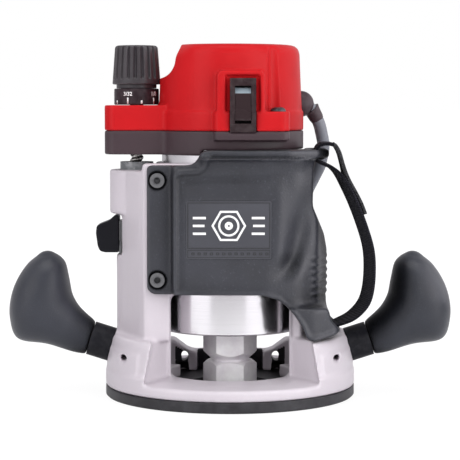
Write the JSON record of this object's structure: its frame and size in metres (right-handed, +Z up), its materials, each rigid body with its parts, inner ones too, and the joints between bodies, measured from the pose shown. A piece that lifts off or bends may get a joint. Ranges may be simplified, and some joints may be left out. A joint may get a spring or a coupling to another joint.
{
  "type": "fixed-base router",
  "caption": "Fixed-base woodworking router with a round base, two side knobs, a body grip with a hand strap and a fine depth dial on the motor head.",
  "frame": {"origin": "centre of the underside of the round sub-base, on the spindle axis", "axes": "+Z up along the spindle towards the motor head, +X to the right through the right-hand knob, -Y the front with the switch and the body grip"},
  "size_m": [0.2706, 0.1524, 0.2129],
  "materials": {
    "cast_paint": "satin pale grey-lilac powder coat over a die casting, softly rounded edges",
    "black_plate": "black phenolic-look sliding plate, faint turning marks",
    "red_housing": "satin-gloss red moulded nylon with a fine texture",
    "black_housing": "black moulded nylon, satin",
    "switch_plastic": "black moulded switch plastic",
    "dial_plastic": "black moulded dial, white graduations on the ring",
    "grip_rubber": "dark grey stippled over-moulded rubber",
    "handle_rubber": "near-black soft-touch rubber",
    "ferrule_plastic": "black moulded ferrule",
    "webbing": "black woven nylon webbing",
    "cord_rubber": "grey-black rubber cord jacket",
    "plate_finish": "dark grey blank plate with a plain border",
    "motor_aluminium": "turned and polished aluminium with fine turning lines",
    "bushing_metal": "grey zinc bushing",
    "spindle_steel": "ground steel, satin",
    "plated_steel": "zinc plated steel",
    "black_steel": "black oxide steel",
    "machined_brass": "machined brass",
    "copper_wire": "enamelled copper wire",
    "lamination_steel": "stacked silicon-steel laminations",
    "carbon": "sintered carbon",
    "fan_plastic": "glass-filled nylon"
  },
  "bodies": {
    "base": {"base_casting": "cast_paint", "sub_base": "black_plate", "sub_base_screws": "plated_steel", "handle_left_knob": "handle_rubber", "handle_right_knob": "handle_rubber", "handle_left_ferrule": "ferrule_plastic", "handle_right_ferrule": "ferrule_plastic", "handle_studs": "plated_steel", "handle_set_screws": "black_steel", "body_grip": "grip_rubber", "body_grip_screws": "black_steel", "name_plate": "plate_finish", "hand_strap": "webbing", "strap_fastener_tab": "webbing", "column_bushing": "bushing_metal", "clamp_bolt": "plated_steel", "clamp_washer": "plated_steel", "clamp_nut": "plated_steel"},
    "lever": {"clamp_lever": "ferrule_plastic"},
    "release": {"release_button": "ferrule_plastic", "half_nut": "black_steel", "release_springs": "plated_steel"},
    "motor": {"motor_housing": "motor_aluminium", "bearing_retainer": "plated_steel", "retainer_screws": "black_steel", "lower_bearing_outer": "spindle_steel", "upper_bearing_outer": "spindle_steel", "upper_bearing_bracket": "motor_aluminium", "field_core": "lamination_steel", "field_coils": "copper_wire", "brush_plate": "black_housing", "brush_holders": "machined_brass", "carbon_brushes": "carbon", "brush_springs": "plated_steel", "motor_collar": "black_housing", "motor_cap": "red_housing", "cap_screws": "black_steel", "switch_bezel": "switch_plastic", "switch_body": "switch_plastic", "power_cord": "cord_rubber", "cord_boot": "black_housing", "plug_body": "cord_rubber", "plug_blades": "machined_brass"},
    "rotor": {"armature_shaft": "spindle_steel", "armature_core": "lamination_steel", "armature_windings": "copper_wire", "commutator": "copper_wire", "cooling_fan": "fan_plastic", "collet": "spindle_steel", "lower_bearing_inner": "spindle_steel", "upper_bearing_inner": "spindle_steel"},
    "nut": {"collet_nut": "spindle_steel"},
    "rocker": {"switch_rocker": "switch_plastic"},
    "dial": {"dial_knob": "dial_plastic", "lead_screw": "plated_steel", "dial_retaining_clip": "plated_steel"},
    "scale_ring": {"dial_scale_ring": "dial_plastic"}
  },
  "joints": [
    {"name": "motor_height", "type": "slide", "parent": "base", "child": "motor", "axis": [0, 0, 1], "range_m": [-0.004, 0.04]},
    {"name": "depth_dial", "type": "hinge", "parent": "motor", "child": "dial", "pos_m": [-0.0569, 0, 0.2], "axis": [0, 0, 1], "range_deg": [-365, 3632]},
    {"name": "scale_ring_turn", "type": "hinge", "parent": "dial", "child": "scale_ring", "pos_m": [-0.0569, 0, 0.182], "axis": [0, 0, 1], "continuous": true},
    {"name": "spindle", "type": "hinge", "parent": "motor", "child": "rotor", "pos_m": [0, 0, 0.051], "axis": [0, 0, 1], "continuous": true},
    {"name": "collet_nut_turn", "type": "hinge", "parent": "rotor", "child": "nut", "pos_m": [0, 0, 0.014], "axis": [0, 0, 1], "range_deg": [-720, 0]},
    {"name": "power_switch", "type": "hinge", "parent": "motor", "child": "rocker", "pos_m": [0.0076, -0.0466, 0.177], "axis": [1, 0, 0], "range_deg": [0, 16]},
    {"name": "half_nut_release", "type": "slide", "parent": "base", "child": "release", "axis": [1, 0, 0], "range_m": [0, 0.0035], "stiffness_N_per_m": 900, "springref_m": -0.006, "deforming": ["release_springs"]},
    {"name": "clamp_lever_swing", "type": "hinge", "parent": "base", "child": "lever", "pos_m": [0.018, 0.053, 0.11], "axis": [1, 0, 0], "range_deg": [-100, 0]}
  ],
  "couplings": [
    {"joint": "depth_dial", "follows": "motor_height", "rad_per_m": 1583.2}
  ]
}
